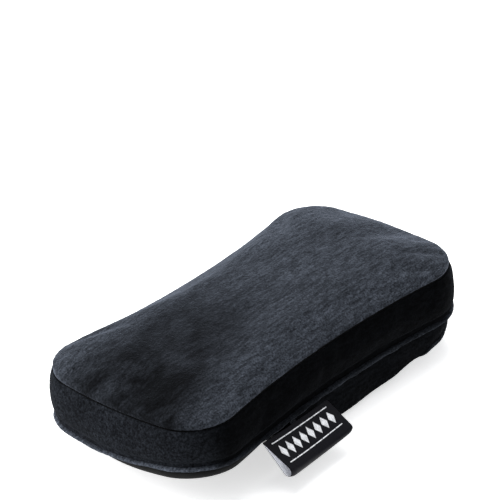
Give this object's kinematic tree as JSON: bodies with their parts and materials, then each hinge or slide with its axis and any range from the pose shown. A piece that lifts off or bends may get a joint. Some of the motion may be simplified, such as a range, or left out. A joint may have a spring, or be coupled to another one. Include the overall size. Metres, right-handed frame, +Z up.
{
  "type": "chair armrest pad",
  "caption": "Waisted memory-foam chair armrest pad in a zipped dark plush cover, with a hook-and-loop wrap underneath that closes round the armrest.",
  "frame": {"origin": "on the underside of the closed outer flap, below the middle of the pad", "axes": "+Z up, +X along the pad towards the end that the wrap reaches, +Y towards the zipped long side; the label is on the -Y side"},
  "size_m": [0.2516, 0.15, 0.0662],
  "materials": {
    "plush": "short dark charcoal plush with a brushed nap",
    "base_cloth": "black woven polyester",
    "foam": "open-cell memory foam, charcoal grey",
    "thread": "black polyester sewing thread",
    "binding": "black grosgrain binding tape",
    "hook_tape": "black nylon hook tape",
    "loop_tape": "black brushed loop tape",
    "label_satin": "black satin ribbon with a pale back",
    "zipper_tape": "black woven zipper tape",
    "zipper_coil": "black nylon zipper teeth",
    "zipper_metal": "black enamelled zinc"
  },
  "bodies": {
    "root": {"foam_core": "foam", "top_panel": "plush", "side_band": "plush", "rear_band_upper": "plush", "rear_band_lower": "plush", "bottom_panel": "base_cloth", "bottom_seam_welt": "plush", "top_seam": "thread", "zipper_tape_upper": "zipper_tape", "zipper_tape_lower": "zipper_tape", "zipper_teeth_upper": "zipper_coil", "zipper_teeth_lower": "zipper_coil", "zipper_top_stops": "zipper_metal", "zipper_bottom_stop": "zipper_metal", "wrap_wall_front": "plush", "wrap_wall_back": "plush"},
    "outer_flap": {"outer_flap": "plush", "outer_flap_binding": "binding", "hook_patch": "hook_tape", "hook_patch_stitching": "thread"},
    "inner_flap": {"inner_flap": "plush", "inner_flap_binding": "binding", "loop_patch": "loop_tape", "loop_patch_stitching": "thread"},
    "label": {"label": "label_satin"},
    "zipper_slider": {"zipper_slider": "zipper_metal"},
    "zipper_pull": {"zipper_pull": "zipper_metal"}
  },
  "joints": [
    {"name": "outer_flap_fold", "type": "hinge", "parent": "root", "child": "outer_flap", "pos_m": [0.02, 0.055, 0.0026], "axis": [1, 0, 0], "range_deg": [0, 110]},
    {"name": "inner_flap_fold", "type": "hinge", "parent": "root", "child": "inner_flap", "pos_m": [0.02, -0.0555, 0.007], "axis": [1, 0, 0], "range_deg": [-88, 0]},
    {"name": "label_flip", "type": "hinge", "parent": "root", "child": "label", "pos_m": [-0.041, -0.0627, 0.0261], "axis": [1, 0, 0], "range_deg": [-50, 40], "stiffness_Nm_per_rad": 0.002},
    {"name": "zipper_run", "type": "hinge", "parent": "root", "child": "zipper_slider", "pos_m": [0, 0.6975, 0.041], "axis": [0, 0, 1], "range_deg": [0, 12.4]},
    {"name": "pull_swing", "type": "hinge", "parent": "zipper_slider", "child": "zipper_pull", "pos_m": [-0.06888, 0.06343, 0.041], "axis": [0, 0, 1], "range_deg": [0, 170]}
  ],
  "couplings": [
    {"joint": "inner_flap_fold", "follows": "outer_flap_fold", "ratio": -0.8}
  ]
}
